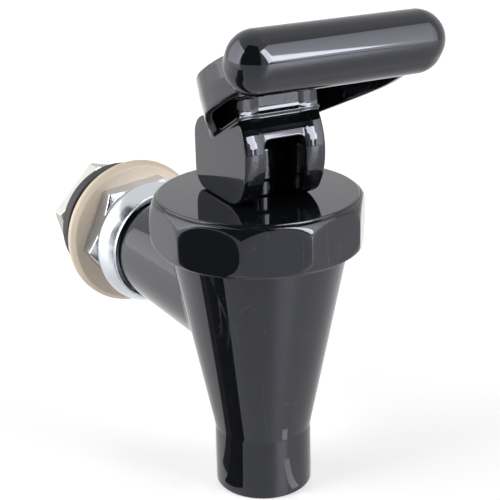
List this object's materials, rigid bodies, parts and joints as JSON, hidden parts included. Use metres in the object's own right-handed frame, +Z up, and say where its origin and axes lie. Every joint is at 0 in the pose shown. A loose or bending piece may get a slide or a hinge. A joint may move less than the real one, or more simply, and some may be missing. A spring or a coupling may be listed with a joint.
{
  "type": "self-closing dispenser tap",
  "caption": "Self-closing push-lever tap for a drink dispenser: tapered black body with a faceted bonnet, broad grip lever, side arm with chrome coupling nut, shank, washers and lock nut.",
  "frame": {"origin": "on the shank's axis, in the plane where the outer washer meets the vessel's wall", "axes": "+Y along the shank into the vessel, +Z up; the tap's upright axis stands at y = -51.5 mm"},
  "size_m": [0.0423, 0.1009, 0.0965],
  "materials": {
    "body_black": "gloss",
    "lever_black": "gloss",
    "stem_black": "gloss",
    "chrome_plate": "polished",
    "nickel_plate": "satin",
    "spring_steel": "satin",
    "ring_brass": "satin",
    "silicone": "matte",
    "washer_beige": "matte",
    "washer_black": "matte"
  },
  "bodies": {
    "tap": {"tap_body": "body_black", "bonnet": "body_black", "seat_cup": "silicone", "coupling_nut": "chrome_plate", "retaining_ring": "ring_brass", "inlet_gasket": "washer_black", "shank": "nickel_plate", "outer_washer": "washer_beige", "inner_washer": "washer_black", "lock_nut": "nickel_plate"},
    "spring_turner": {"return_spring": "spring_steel"},
    "stem": {"stem": "stem_black"},
    "lever": {"lever_handle": "lever_black"}
  },
  "joints": [
    {"name": "lever_swivel", "type": "hinge", "parent": "tap", "child": "spring_turner", "pos_m": [0, -0.0515, 0.0104], "axis": [0, 0, 1], "continuous": true},
    {"name": "stem_lift", "type": "slide", "parent": "spring_turner", "child": "stem", "axis": [0, 0, 1], "range_m": [0, 0.00294], "deforming": ["return_spring", "seat_cup"]},
    {"name": "lever_pull", "type": "hinge", "parent": "stem", "child": "lever", "pos_m": [0, -0.0515, 0.0287], "axis": [0.9954, -0.0958, 0], "range_deg": [0, 40], "stiffness_Nm_per_rad": 0.0265, "springref_deg": -81.93}
  ],
  "couplings": [
    {"joint": "stem_lift", "follows": "lever_pull", "m_per_rad": 0.0042}
  ]
}
